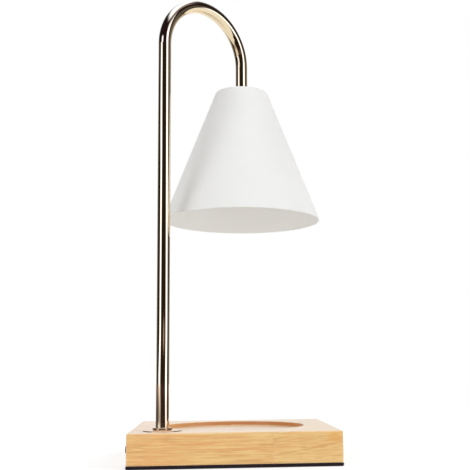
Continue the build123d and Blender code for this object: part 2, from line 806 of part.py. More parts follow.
def bulb_reflector():
    """Pressed-glass bowl: neck, curved flare and an upright rim with a ledge for the lens."""
    low = bulb_top - bulb_base_height
    neck_top = low + neck_length
    rim_top = bulb_front + bulb_rim_height
    middle = (low + rim_top) / 2
    ledge = bulb_front + lens_inset + lens_thickness
    rim_inner = bulb_radius - reflector_wall
    flare_start = (neck_radius + flare_root, 0, low)
    flare_end = (rim_inner - lens_ledge, 0, ledge)
    throat = (throat_radius, 0, low - throat_step)
    flare_out = Spline(
        [flare_start, (flare_outer_radius, 0, middle + flare_outer_lift), (bulb_radius, 0, rim_top)],
        tangents=[(0.9, 0, -0.7), (0.35, 0, -1)],
    )
    flare_in = Spline(
        [flare_end, (flare_inner_radius, 0, middle + flare_inner_lift), throat],
        tangents=[(-0.35, 0, 1), (-1, 0, 0.6)],
    )
    upper = Polyline([
        throat, (throat_radius, 0, neck_top), (neck_radius, 0, neck_top), (neck_radius, 0, low),
        flare_start,
    ])
    lower = Polyline([
        (bulb_radius, 0, rim_top), (bulb_radius, 0, bulb_front + bulb_rim_edge),
        (bulb_radius - bulb_rim_edge, 0, bulb_front), (rim_inner, 0, bulb_front),
        (rim_inner, 0, ledge), flare_end,
    ])
    bowl = revolve(make_face([*upper.edges(), flare_out, *lower.edges(), flare_in]), Axis.Z)
    return at_shade(bowl)


def bulb_lens():
    low = bulb_front + lens_inset
    lens = rod(bulb_radius - reflector_wall - thread_gap, low, low + lens_thickness)
    return at_shade(fillet(lens.edges().sort_by(Axis.Z)[0], lens_edge_radius))


def capsule_top():
    return bulb_top - bulb_base_height + neck_length + capsule_root


def bulb_capsule():
    """Quartz capsule: a hollow cylinder with a domed end below and a solid foot in the base."""
    top = capsule_top()
    low = top - capsule_length
    hollow_radius = capsule_radius - capsule_wall
    outside = domed_rod(capsule_radius, low, top)
    inside = domed_rod(hollow_radius, low + capsule_wall, top - capsule_foot)
    return at_shade(outside - inside)


def domed_rod(radius, low, high):
    """Rod on the Z axis whose lower end is rounded."""
    body = rod(radius, low, high)
    lowest = body.edges().filter_by(GeomType.CIRCLE).sort_by(Axis.Z)[0]
    return fillet(lowest, capsule_dome * radius)


def bulb_filament():
    """Axial coil carried by two legs from the capsule's foot."""
    top = capsule_top() - capsule_foot
    coil_top = top - filament_drop
    coil_low = coil_top - filament_length
    leg_width = 2 * filament_leg_radius
    coil = ring(filament_radius, filament_radius - filament_wire, coil_low, coil_top)
    near_leg = Pos(filament_radius - filament_wire / 2, 0, 0) * rod(
        filament_leg_radius, coil_top - leg_width, top
    )
    side = filament_radius + filament_leg_gap
    far_leg = Pos(-side, 0, 0) * rod(filament_leg_radius, coil_low, top)
    foot = Pos(-side / 2, 0, coil_low) * Box(side, leg_width, leg_width)
    return at_shade(coil + near_leg + far_leg + foot)


# ---------------------------------------------------------------- write the nodes

nodes = {
    "base_block": base_block,
    "base_pad": base_pad,
    "base_cover": base_cover,
    "cover_screws": cover_screws,
    "cord_bushing": cord_bushing,
    "terminal_block": terminal_block,
    "terminal_sleeves": terminal_sleeves,
    "terminal_screws": terminal_screws,
    "terminal_fixing_screw": terminal_fixing_screw,
    "pole_tube": pole_tube,
    "pole_washer": pole_washer,
    "pole_nut": pole_nut,
    "pole_under_washer": pole_under_washer,
    "pole_lock_washer": pole_lock_washer,
    "pole_under_nut": pole_under_nut,
    "shade": shade,
    "shade_spacer": shade_spacer,
    "shade_nipple": shade_nipple,
    "shade_lock_washer": shade_lock_washer,
    "shade_nut": shade_nut,
    "holder_bracket": holder_bracket,
    "lampholder": lampholder,
    "holder_contacts": holder_contacts,
    "holder_screws": holder_screws,
    "holder_nuts": holder_nuts,
    "lead_live": lambda: lead(1),
    "lead_neutral": lambda: lead(-1),
    "bulb_base": bulb_base,
    "bulb_pins": bulb_pins,
    "bulb_reflector": bulb_reflector,
    "bulb_lens": bulb_lens,
    "bulb_capsule": bulb_capsule,
    "bulb_filament": bulb_filament,
}

os.makedirs("parts", exist_ok=True)
for name, make in nodes.items():
    made = make()
    if isinstance(made, list):
        made = Compound([solid for piece in made for solid in piece.solids()])
    export_step(made, f"parts/{name}.step")
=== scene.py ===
from math import cos, pi, radians, sin

import bpy
from mathutils import Matrix, Vector

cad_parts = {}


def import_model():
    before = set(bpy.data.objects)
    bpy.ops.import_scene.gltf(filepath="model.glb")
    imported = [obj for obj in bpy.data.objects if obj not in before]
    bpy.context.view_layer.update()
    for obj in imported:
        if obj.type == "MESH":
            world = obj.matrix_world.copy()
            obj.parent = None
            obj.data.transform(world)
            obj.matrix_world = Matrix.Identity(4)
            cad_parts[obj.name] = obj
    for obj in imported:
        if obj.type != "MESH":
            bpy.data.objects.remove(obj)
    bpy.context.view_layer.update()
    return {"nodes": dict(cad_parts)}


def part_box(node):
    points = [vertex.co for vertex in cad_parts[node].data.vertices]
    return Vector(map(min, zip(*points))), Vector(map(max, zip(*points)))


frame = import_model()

# Metres, +X to the right, +Y to the back, +Z up. The CAD's pieces keep their shape and get materials only.

scene = bpy.context.scene
nodes = frame["nodes"]
shade_low, shade_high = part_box("shade")
shade_axis = tuple((shade_low + shade_high) / 2)
pole_x, pole_y = -0.055, -0.055
pole_foot = (pole_x, pole_y, 0)
lamp_middle = Vector((pole_x, pole_y, 0.2))     # the studio is laid out about this point

# ---------------------------------------------------------------- camera

# place and lens, solved from the photo: metres, radians, pixels
camera_place = Vector((-0.01976, -0.73182, 0.07158))
camera_yaw, camera_pitch, camera_roll = 0.0920, 0.1111, -0.0095
focal_pixels, frame_pixels = 870.75, 470.0
principal_x, principal_y = 288.91, 272.33
sensor = 36.0               # mm


def make_camera():
    data = bpy.data.cameras.new("camera")
    data.sensor_width = sensor
    data.lens = focal_pixels / frame_pixels * sensor
    data.shift_x = (frame_pixels / 2 - principal_x) / frame_pixels
    data.shift_y = (principal_y - frame_pixels / 2) / frame_pixels
    data.clip_start, data.clip_end = 0.01, 50.0
    forward = Vector((sin(camera_yaw) * cos(camera_pitch), cos(camera_yaw) * cos(camera_pitch),
                      sin(camera_pitch)))
    level = Vector((cos(camera_yaw), -sin(camera_yaw), 0.0))
    rise = level.cross(forward)
    right = cos(camera_roll) * level + sin(camera_roll) * rise
    up = -sin(camera_roll) * level + cos(camera_roll) * rise
    camera = bpy.data.objects.new("camera", data)
    turn = Matrix((right, up, -forward)).transposed()
    camera.matrix_world = Matrix.Translation(camera_place) @ turn.to_4x4()
    scene.collection.objects.link(camera)
    scene.camera = camera


make_camera()

# ---------------------------------------------------------------- node graphs


class Graph:
    """A material's nodes, with short calls that return the output socket."""

    def __init__(self, name, glow=False):
        self.material = bpy.data.materials.new(name)
        self.material.use_nodes = True
        self.tree = self.material.node_tree
        self.tree.nodes.clear()
        self.surface = self.node("ShaderNodeEmission" if glow else "ShaderNodeBsdfPrincipled")
        self.output = self.node("ShaderNodeOutputMaterial")
        self.put(self.output.inputs["Surface"], self.surface.outputs[0])
        coordinates = self.node("ShaderNodeTexCoord").outputs
        self.place, self.normal = coordinates["Object"], coordinates["Normal"]

    def node(self, kind, **settings):
        made = self.tree.nodes.new(kind)
        for key, value in settings.items():
            setattr(made, key, value)
        return made

    def put(self, socket, value):
        if isinstance(value, bpy.types.NodeSocket):
            self.tree.links.new(value, socket)
        else:
            socket.default_value = value

    def tint(self, socket, value):
        """Sets a colour socket from three numbers or from another socket."""
        self.put(socket, (*value, 1.0) if isinstance(value, tuple) else value)

    def finish(self, **inputs):
        """Sets the surface shader's sockets; a name's underscores stand for spaces."""
        for key, value in inputs.items():
            set_value = self.tint if "Color" in key else self.put
            set_value(self.surface.inputs[key.replace("_", " ")], value)
        return self.material

    # numbers

    def math(self, operation, a, b=0.0):
        made = self.node("ShaderNodeMath", operation=operation)
        self.put(made.inputs[0], a)
        self.put(made.inputs[1], b)
        return made.outputs[0]

    def chain(self, operation, first, *others):
        for other in others:
            first = self.math(operation, first, other)
        return first

    def plus(self, *values):
        return self.chain("ADD", *values)

    def times(self, *values):
        return self.chain("MULTIPLY", *values)

    def largest(self, *values):
        return self.chain("MAXIMUM", *values)

    def minus(self, a, b):
        return self.math("SUBTRACT", a, b)

    def absolute(self, value):
        return self.math("ABSOLUTE", value)

    def rest(self, value):
        """What is left of 1."""
        return self.minus(1.0, value)

    def span(self, value, low, high, to_low=0.0, to_high=1.0, smooth=False):
        """Carries the range low to high over to the range to_low to to_high, and clamps it there."""
        made = self.node("ShaderNodeMapRange", interpolation_type="SMOOTHSTEP" if smooth else "LINEAR")
        for socket, number in zip(made.inputs, (value, low, high, to_low, to_high)):
            self.put(socket, number)
        return made.outputs[0]

    def soft(self, value, low, high, to_low=0.0, to_high=1.0):
        return self.span(value, low, high, to_low, to_high, smooth=True)

    # vectors

    def vector(self, operation, a, b=(0, 0, 0), output="Vector"):
        made = self.node("ShaderNodeVectorMath", operation=operation)
        self.put(made.inputs[0], a)
        self.put(made.inputs[1], b)
        return made.outputs[output]

    def scaled(self, vector, factors):
        return self.vector("MULTIPLY", vector, factors)

    def level(self, vector):
        """The vector without its height."""
        return self.scaled(vector, (1, 1, 0))

    def length(self, vector):
        return self.vector("LENGTH", vector, output="Value")

    def parts(self, vector):
        made = self.node("ShaderNodeSeparateXYZ")
        self.put(made.inputs[0], vector)
        return made.outputs

    def join(self, x, y, z):
        made = self.node("ShaderNodeCombineXYZ")
        for socket, value in zip(made.inputs, (x, y, z)):
            self.put(socket, value)
        return made.outputs[0]

    def from_point(self, point):
        return self.vector("SUBTRACT", self.place, point)

    def facing(self):
        """How far the surface faces along X, Y and Z, either way."""
        return self.parts(self.vector("ABSOLUTE", self.normal))

    def azimuth(self, x, y):
        """Degrees round the Z axis, 0 to the front (-Y) and 90 to the right (+X)."""
        return self.times(self.math("ARCTAN2", x, self.times(y, -1.0)), 180 / pi)

    # patterns; the scales are per metre

    def stretched(self, scale, shift=(0, 0, 0)):
        made = self.node("ShaderNodeMapping")
        self.put(made.inputs["Vector"], self.place)
        made.inputs["Scale"].default_value = scale
        made.inputs["Location"].default_value = shift
        return made.outputs[0]

    def noise(self, vector, detail=3.0, rough=0.5):
        made = self.node("ShaderNodeTexNoise")
        self.put(made.inputs["Vector"], vector)
        made.inputs["Scale"].default_value = 1.0
        made.inputs["Detail"].default_value = detail
        made.inputs["Roughness"].default_value = rough
        return made.outputs["Fac"]

    def even(self, scale, detail, rough=0.5):
        """Noise of the same scale in every direction."""
        return self.noise(self.stretched((scale, scale, scale)), detail, rough)

    def cells(self, scale, feature="F1"):
        made = self.node("ShaderNodeTexVoronoi", feature=feature)
        self.put(made.inputs["Vector"], self.stretched((scale, scale, scale)))
        made.inputs["Scale"].default_value = 1.0
        return made.outputs["Distance"]

    # colours and relief

    def ramp(self, value, stops):
        made = self.node("ShaderNodeValToRGB")
        band = made.color_ramp
        while len(band.elements) < len(stops):
            band.elements.new(0.5)
        for element, (at, colour) in zip(band.elements, stops):
            element.position = at
            element.color = (*colour, 1.0)
        self.put(made.inputs[0], value)
        return made.outputs[0]

    def around(self, azimuth, stops):
        """A tone that changes with the azimuth; stops are pairs of degrees and colour."""
        return self.ramp(self.span(azimuth, -180, 180), [((at + 180) / 360, tone) for at, tone in stops])

    def blend(self, share, a, b):
        made = self.node("ShaderNodeMix", data_type="RGBA", blend_type="MIX")
        self.put(made.inputs[0], share)
        self.tint(made.inputs[6], a)
        self.tint(made.inputs[7], b)
        return made.outputs[2]

    def paint(self, tone, layers):
        """Blends layers over a tone in their order; each is a share and a colour."""
        for share, colour in layers:
            tone = self.blend(share, tone, colour)
        return tone

    def bump(self, height, distance, strength, normal=None):
        made = self.node("ShaderNodeBump")
        made.inputs["Strength"].default_value = strength
        made.inputs["Distance"].default_value = distance
        self.put(made.inputs["Height"], height)
        if normal is not None:
            self.put(made.inputs["Normal"], normal)
        return made.outputs[0]

    # shaders

    def shader(self, kind, colour):
        made = self.node(kind)
        self.tint(made.inputs["Color"], colour)
        return made.outputs[0]

    def mix(self, share, first, second):
        made = self.node("ShaderNodeMixShader")
        for socket, value in zip(made.inputs, (share, first, second)):
            self.put(socket, value)
        return made.outputs[0]


# ---------------------------------------------------------------- wood

block_half = 0.08           # half the block's width
stave_width = 0.035         # of the block's glued staves
stave_start = 0.0802        # the first stave's edge, a little outside the block's front face
front_joint = 0.0275        # where the front stave's two lengths meet, along X
joint_spread = 0.09         # how far the other staves' joints lie to the left of it, at most
joint_step = 0.618          # share of that spread from stave to stave
finger_length, finger_pitch = 0.009, 0.0042
glue_line = (0.0003, 0.0001)        # distance from a joint: where the glue's tone starts and is full
pith_y, pith_depth = 0.025, 0.13    # axis of the growth rings: behind the middle, below the block
ring_warp = 0.010
board_slope = 0.16          # the right boards' grain falls by this share of the way past their joint
board_shift = 3.7           # sets the boards' patterns apart
recess_edge = (0.0600, 0.0593)      # distance from the middle: outside and inside the recess's rim
recess_wall = (0.0545, 0.0565)      # inside the wall and on it
recess_floor = (0.0245, 0.0235)     # height: above the recess's floor and on it
recess_underside = (0.0200, 0.0210)
wall_reach = 0.055          # the recess wall's painted shade changes along X as far as this to each side
middle_dark_heights = (0.008, 0.012, 0.019, 0.024)    # heights of the soft edges of the darker band: none below 8 mm, full from 12 to 19 mm, a third of it above 24 mm
heart_start = (0.006, 0.012)        # height: fewer red streaks below
stain_place, stain_reach = (0.0735, -0.080, 0.0215), (0.0085, 0.0020)


def rubberwood():
    """Finger-jointed board: staves along X, each of two lengths with their own grain."""
    g = Graph("rubberwood")
    x, y, z = g.parts(g.place)

    # which board a point lies in, and how far past its stave's joint
    row = g.math("FLOOR", g.math("DIVIDE", g.plus(y, stave_start), stave_width))
    step = g.math("FRACT", g.times(row, joint_step))
    finger = g.math("PINGPONG", g.plus(y, block_half), finger_pitch / 2)
    finger = g.times(finger, 2 * finger_length / finger_pitch)
    joint = g.plus(g.times(step, -joint_spread), g.plus(finger, front_joint))
    past = g.minus(x, joint)
    right = g.math("GREATER_THAN", past, 0.0)
    board = g.plus(g.times(row, 2.0), right)

    # the growth rings, warped and sloped
    warp = g.noise(g.stretched((9, 40, 40)), detail=2)
    bend = g.times(g.minus(warp, 0.5), ring_warp)
    slope = g.times(past, right, -board_slope)
    across = g.plus(g.minus(y, pith_y), bend)
    height = g.plus(z, slope, bend, pith_depth)
    radius = g.math("SQRT", g.plus(g.times(across, across), g.times(height, height)))
    apart = g.times(board, board_shift)

    def grain(along, through, aside, detail, rough):
        """Noise drawn out along the board, through its rings and aside along each ring."""
        return g.noise(g.join(g.plus(g.times(x, along), apart), g.times(radius, through),
                              g.times(across, aside)), detail, rough)

    bands = grain(8, 240, 14, 4, 0.6)
    streaks = grain(24, 620, 50, 4, 0.65)
    lines = grain(40, 1150, 120, 2, 0.6)
    dashes = grain(34, 760, 200, 2, 0.55)
    broad = g.noise(g.stretched((7, 22, 30)), detail=2)
    fibres = g.noise(g.stretched((45, 1200, 1200)), detail=3, rough=0.6)
    glints = g.noise(g.stretched((30, 700, 700), shift=(1, 5, 3)), detail=2, rough=0.6)
    vessels = g.noise(g.stretched((90, 1300, 1300), shift=(3, 1, 2)), detail=1, rough=0.4)

    middle_dark = g.times(g.soft(z, *middle_dark_heights[:2]), g.soft(z, *middle_dark_heights[2:], 1, 0.35))
    heart = g.times(g.span(z, *heart_start, 0.25, 1.0), g.span(right, 0, 1, 1.0, 0.55))
    stain = g.scaled(g.from_point(stain_place), (1.0, 0.3, 1.5))

    # faces: the recess's wall and floor, turned edges, the block's ends, for painted shade and painted
    # highlights
    away = g.length(g.level(g.place))
    nx, ny, nz = g.facing()
    steep = g.span(nz, 0.75, 0.35)
    near = g.span(away, *recess_edge)
    outside = g.rest(near)
    wall_shade = g.times(steep, near, g.span(away, *recess_wall))
    recess_floor_sheen = g.times(g.rest(steep), g.span(z, *recess_floor), near, g.span(z, *recess_underside))
    turned = g.times(g.span(nz, 0.10, 0.35), g.span(nz, 0.995, 0.90))
    arris = g.times(g.span(nx, 0.15, 0.45), g.span(ny, 0.15, 0.45), 0.6)
    edge_highlight = g.times(g.largest(turned, arris), outside)
    wall_shade_tone = g.ramp(g.span(x, -wall_reach, wall_reach), [
        (0.0, (0.72, 0.38, 0.13)), (0.25, (0.66, 0.27, 0.10)), (0.62, (0.60, 0.215, 0.078)),
        (1.0, (0.60, 0.205, 0.040))])

    tone = g.ramp(bands, [(0.28, (0.86, 0.59, 0.225)), (0.46, (0.88, 0.560, 0.210)),
                          (0.60, (0.89, 0.505, 0.188)), (0.78, (0.86, 0.435, 0.152))])
    tone = g.paint(tone, [
        (g.soft(broad, 0.42, 0.62, 0.0, 0.50), (0.86, 0.61, 0.250)),
        (g.soft(broad, 0.46, 0.34, 0.0, 0.40), (0.90, 0.48, 0.185)),
        (g.times(right, 0.45), (0.86, 0.61, 0.245)),
        (g.times(middle_dark, 0.38), (0.80, 0.435, 0.165)),
        (g.times(g.soft(streaks, 0.50, 0.66, 0.0, 0.80), heart), (0.84, 0.375, 0.120)),
        (g.times(g.soft(lines, 0.56, 0.70, 0.0, 0.75), heart), (0.72, 0.300, 0.085)),
        (g.span(fibres, 0.32, 0.62, 0.40, 0.0), (0.70, 0.38, 0.14)),
        (g.soft(dashes, 0.53, 0.64, 0.0, 0.62), (0.69, 0.35, 0.115)),
        (g.soft(glints, 0.50, 0.62, 0.0, 0.55), (0.93, 0.655, 0.28)),
        (g.soft(vessels, 0.62, 0.72, 0.0, 0.35), (0.52, 0.22, 0.055)),
        (g.soft(g.length(stain), *stain_reach, 0.0, 0.75), (0.80, 0.41, 0.095)),
        (g.span(g.absolute(past), *glue_line, 0.0, 0.16), (0.55, 0.30, 0.11)),
        # painted shade: the recess wall darker and redder, warmer at its left
        (g.times(wall_shade, 0.85), wall_shade_tone),
        # painted sheen: the recess floor paler towards its wall
        (g.times(recess_floor_sheen, g.span(away, 0.020, 0.056, 0.20, 0.55)), (0.93, 0.68, 0.43)),
        # painted highlight: the turned edges and vertical corners, outside the recess, paler
        (g.times(edge_highlight, 0.38), (1.0, 0.82, 0.52)),
        # painted shade: the block's ends, facing along X, darker
        (g.times(nx, outside, 0.35), (0.66, 0.40, 0.18)),
    ])
    relief = g.plus(g.times(fibres, 0.35), g.times(g.span(vessels, 0.66, 0.73, 0.0, -1.0), 0.65))
    return g.finish(Base_Color=tone, Roughness=g.span(fibres, 0.3, 0.7, 0.30, 0.40),
                    Normal=g.bump(relief, 0.00008, 0.25), Coat_Weight=0.30, Coat_Roughness=0.28,
                    Sheen_Weight=0.54, Sheen_Roughness=0.35)


# ---------------------------------------------------------------- gold plate

nut_edge = (0.0095, 0.0090)         # distance from the pole: outside the nut and within it
washer_rim = (0.0141, 0.0143)       # inside the washer's rim and on it
seat_shade_height = (0.02655, 0.02645)    # height: lower half of the washer's rim, where painted shade marks its seat
nut_reflection_band = (0.0270, 0.0273, 0.0278, 0.0281)     # height of the painted dark band, a painted reflection, on the nut's front
corner_start, corner_full = 0.0020, 0.0031      # the front's corners with painted highlights, along X from the pole
rings_per_metre = 5200.0            # the lathe's marks
edge_round = 0.0008


def pale_gold():
    """Polished plate with hairlines along the tube."""
    g = Graph("pale_gold")
    cloud = g.even(60, 3)
    hair = g.noise(g.stretched((9000, 9000, 220)), detail=2)
    tone = g.blend(g.span(cloud, 0.35, 0.65), (0.885, 0.745, 0.530), (0.865, 0.715, 0.490))
    rough = g.plus(g.span(cloud, 0.3, 0.7, 0.03, 0.06), g.span(hair, 0.5, 0.8, 0.0, 0.02))
    return g.finish(Base_Color=tone, Metallic=1.0, Roughness=rough)


def turned_gold(name, polish):
    """Gold plate over turned steel: fine rings about the pole, with painted reflections and painted shade (dark
    sides, a dark band on the nut's front, a dark seat line on the washer's rim) and painted highlights (pale,
    less metallic corners, washer rim and top faces).
    """
    g = Graph(name)
    x, _, z = g.parts(g.place)
    nx, _, nz = g.facing()
    radius = g.length(g.level(g.from_point(pole_foot)))
    rings = g.noise(g.join(g.times(radius, rings_per_metre), 0.0, 0.0), detail=2)
    cloud = g.even(160, 3)

    wall = g.span(nz, 0.5, 0.3)
    nut = g.span(radius, *nut_edge)
    rim = g.times(wall, g.span(radius, *washer_rim))
    aslant = g.span(nx, 0.45, 0.65)
    corner = g.soft(g.absolute(g.minus(x, pole_x)), corner_start, corner_full)
    # painted highlight: the nut's front corners are pale and less metallic
    painted_highlight = g.times(corner, wall, g.span(nx, 0.5, 0.3), nut)
    # painted reflection: where the dark band lies on the nut's front
    band = g.times(g.span(z, *nut_reflection_band[:2]), g.span(z, nut_reflection_band[3], nut_reflection_band[2]), nut, g.rest(painted_highlight))
    # painted shade: a dark seat line low on the washer's rim, at its sides
    seat_shade = g.times(rim, aslant, g.span(z, *seat_shade_height))

    tone = g.blend(g.span(cloud, 0.35, 0.65), (0.96, 0.72, 0.50), (0.94, 0.68, 0.46))
    tone = g.paint(tone, [
        # painted reflection: the nut's side faces darker
        (g.times(wall, g.span(nx, 0.45, 0.75), nut, 0.75), (0.24, 0.095, 0.032)),
        (g.times(wall, band, 0.95), (0.26, 0.105, 0.036)),
        (g.times(seat_shade, 0.9), (0.12, 0.062, 0.030)),
    ])
    # painted highlight: the top faces and the washer's front rim are pale and less metallic
    top = g.times(g.span(nz, 0.90, 0.97), 0.9)
    painted_highlight = g.largest(painted_highlight, g.times(rim, g.rest(aslant)), top)
    rough = g.plus(g.span(cloud, 0.3, 0.7, polish, polish + 0.03), g.span(rings, 0.4, 0.8, 0.0, 0.04))
    rounded = g.node("ShaderNodeBevel", samples=6)
    rounded.inputs["Radius"].default_value = edge_round
    return g.finish(Base_Color=tone, Metallic=g.minus(0.8, g.times(painted_highlight, 0.65)), Roughness=rough,
                    Normal=g.bump(rings, 0.00001, 0.12, rounded.outputs[0]))


# ---------------------------------------------------------------- other materials


def white_paint():
    """Satin powder coat, painted a little brighter inside the shade as painted light."""
    g = Graph("white_paint")
    orange_peel = g.even(620, 2, 0.4)
    drift = g.even(22, 2)
    outward = g.vector("NORMALIZE", g.level(g.from_point(shade_axis)))
    facing = g.vector("DOT_PRODUCT", outward, g.normal, output="Value")
    tone = g.blend(g.span(drift, 0.35, 0.65), (0.848, 0.838, 0.818), (0.828, 0.818, 0.799))
    # painted light: faces turned in towards the shade's axis get a brighter copy of the paint
    tone = g.blend(g.span(facing, 0.0, -0.2), tone, (0.925, 0.935, 0.92))
    return g.finish(Base_Color=tone, Roughness=g.span(orange_peel, 0.3, 0.7, 0.38, 0.46),
                    Normal=g.bump(orange_peel, 0.00008, 0.25))


def plastic(name, tone, other, rough, grain, depth, strength=0.4, **extra):
    """Moulded or fired stuff in two near tones: the grain, per metre, is in its gloss and its relief."""
    g = Graph(name)
    fine = g.even(grain, 3, 0.6)
    colour = g.blend(g.span(g.even(90, 2), 0.35, 0.65), tone, other)
    shine = g.span(fine, 0.3, 0.7, rough - 0.06, rough + 0.06)
    return g.finish(Base_Color=colour, Roughness=shine, Normal=g.bump(fine, depth, strength), **extra)


def foam():
    """Black foam sheet with fine pores and a little dust."""
    g = Graph("foam_pad")
    pores = g.cells(1500)
    colour = g.blend(g.span(pores, 0.2, 0.7), (0.012, 0.007, 0.009), (0.022, 0.013, 0.016))
    colour = g.blend(g.span(g.even(260, 3), 0.55, 0.8, 0.0, 0.3), colour, (0.045, 0.032, 0.034))
    return g.finish(Base_Color=colour, Roughness=g.span(pores, 0.0, 0.8, 0.95, 0.7),
                    Normal=g.bump(pores, 0.0002, 0.5), Specular_IOR_Level=0.15, Sheen_Weight=0.05,
                    Sheen_Roughness=0.5)


def metal(name, tone, other, rough):
    """Bare or plated metal in two near tones, with fine lines drawn out along Z."""
    g = Graph(name)
    cloud = g.even(220, 3)
    fine = g.noise(g.stretched((2600, 2600, 60)), detail=3, rough=0.6)
    colour = g.blend(g.span(cloud, 0.3, 0.7), tone, other)
    shine = g.plus(g.span(cloud, 0.3, 0.7, rough - 0.05, rough + 0.06), g.span(fine, 0.45, 0.75, 0.0, 0.08))
    return g.finish(Base_Color=colour, Metallic=1.0, Roughness=shine, Normal=g.bump(fine, 0.00003, 0.4))


def glass(name, tint, rough, ior):
    """Clear glass with faint streaks."""
    g = Graph(name)
    streak = g.even(140, 2)
    return g.finish(Base_Color=tint, Roughness=g.span(streak, 0.4, 0.8, rough, rough + 0.04), IOR=ior,
                    Transmission_Weight=1.0, Normal=g.bump(streak, 0.00005, 0.08))


def reflector():
    """Mirror coat on dimpled glass."""
    g = Graph("reflector_glass")
    cloud = g.even(150, 2)
    dimple = g.cells(420, feature="SMOOTH_F1")
    colour = g.blend(g.span(cloud, 0.3, 0.7), (0.78, 0.79, 0.80), (0.70, 0.72, 0.76))
    return g.finish(Base_Color=colour, Metallic=1.0, Roughness=g.span(cloud, 0.3, 0.7, 0.10, 0.18),
                    Normal=g.bump(dimple, 0.0006, 0.35))


finishes = {
    rubberwood(): ["base_block"],
    foam(): ["base_pad"],
    pale_gold(): ["pole_tube"],
    turned_gold("washer_gold", 0.25): ["pole_washer"],
    turned_gold("nut_gold", 0.08): ["pole_nut"],
    white_paint(): ["shade"],
    plastic("white_nylon", (0.86, 0.86, 0.84), (0.82, 0.82, 0.80), 0.42, 900, 0.00005, Subsurface_Weight=0.15,
            Subsurface_Radius=(0.002, 0.002, 0.0018), Subsurface_Scale=1.0): ["shade_spacer", "terminal_block"],
    plastic("black_plastic", (0.030, 0.030, 0.031), (0.024, 0.024, 0.025), 0.48, 1500, 0.00012, 0.5):
        ["base_cover"],
    plastic("black_rubber", (0.022, 0.020, 0.020), (0.030, 0.028, 0.027), 0.62, 1100, 0.00008):
        ["cord_bushing"],
    metal("zinc_steel", (0.70, 0.72, 0.74), (0.60, 0.63, 0.67), 0.30):
        ["cover_screws", "pole_under_washer", "pole_lock_washer", "pole_under_nut", "terminal_screws",
         "terminal_fixing_screw", "shade_nipple", "shade_lock_washer", "shade_nut", "holder_bracket",
         "holder_screws", "holder_nuts"],
    metal("brass", (0.82, 0.62, 0.30), (0.74, 0.54, 0.24), 0.28): ["terminal_sleeves", "holder_contacts"],
    plastic("ceramic", (0.80, 0.78, 0.72), (0.74, 0.72, 0.66), 0.38, 1300, 0.00006): ["lampholder"],
    plastic("lead_brown", (0.150, 0.070, 0.035), (0.120, 0.055, 0.028), 0.50, 1400, 0.00006, 0.3):
        ["lead_live"],
    plastic("lead_blue", (0.030, 0.110, 0.340), (0.025, 0.090, 0.290), 0.50, 1400, 0.00006, 0.3):
        ["lead_neutral"],
    plastic("bulb_ceramic", (0.82, 0.81, 0.78), (0.77, 0.76, 0.73), 0.50, 1500, 0.00008): ["bulb_base"],
    metal("nickel", (0.72, 0.69, 0.64), (0.64, 0.61, 0.56), 0.22): ["bulb_pins"],
    reflector(): ["bulb_reflector"],
    glass("clear_glass", (0.97, 0.98, 0.98), 0.01, 1.47): ["bulb_lens"],
    glass("quartz", (0.98, 0.98, 0.98), 0.02, 1.46): ["bulb_capsule"],
    metal("tungsten", (0.42, 0.41, 0.40), (0.34, 0.33, 0.33), 0.45): ["bulb_filament"],
}
for material, names in finishes.items():
    for name in names:
        for place in nodes[name].material_slots:
            place.material = material

# ---------------------------------------------------------------- studio

fill_light, fill_tint = 0.64, (0.97, 0.985, 1.0)
floor_glow = 0.63
floor_size = 4.0            # from the middle to each side
floor_drop = 0.0002         # keeps the floor off the lamp's foot
room_radius = 4.0
white = (1.0, 1.0, 1.0)
unlit = (0.020, 0.012, 0.009)
lamp_white = (1.75, 1.85, 2.30)
ceiling_white = (1.40, 1.58, 2.05)


def mesh_object(name, points, faces):
    mesh = bpy.data.meshes.new(name)
    mesh.from_pydata(points, [], faces)
    mesh.update()
    made = bpy.data.objects.new(name, mesh)
    scene.collection.objects.link(made)
    return made


def seen_as_background(tree):
    """1 for the camera's rays and for what metal and glass show, 0 for the light on the object."""
    path = tree.nodes.new("ShaderNodeLightPath")
    shown = path.outputs["Is Camera Ray"]
    for name in ("Is Glossy Ray", "Is Transmission Ray"):
        most = tree.nodes.new("ShaderNodeMath")
        most.operation = "MAXIMUM"
        tree.links.new(shown, most.inputs[0])
        tree.links.new(path.outputs[name], most.inputs[1])
        shown = most.outputs[0]
    return shown


def world():
    made = bpy.data.worlds.new("studio")
    scene.world = made
    made.use_nodes = True
    tree = made.node_tree
    tree.nodes.clear()
    pick = tree.nodes.new("ShaderNodeMixShader")
    tree.links.new(seen_as_background(tree), pick.inputs[0])
    for socket, colour, strength in ((pick.inputs[1], fill_tint, fill_light), (pick.inputs[2], white, 1.0)):
        light = tree.nodes.new("ShaderNodeBackground")
        light.inputs["Color"].default_value = (*colour, 1.0)
        light.inputs["Strength"].default_value = strength
        tree.links.new(light.outputs[0], socket)
    output = tree.nodes.new("ShaderNodeOutputWorld")
    tree.links.new(pick.outputs[0], output.inputs[0])


def grey(level, warmth=0.0):
    """A grey; a warm one has that share more red and less blue."""
    return (level * (1 + warmth), level, level * (1 - warmth))


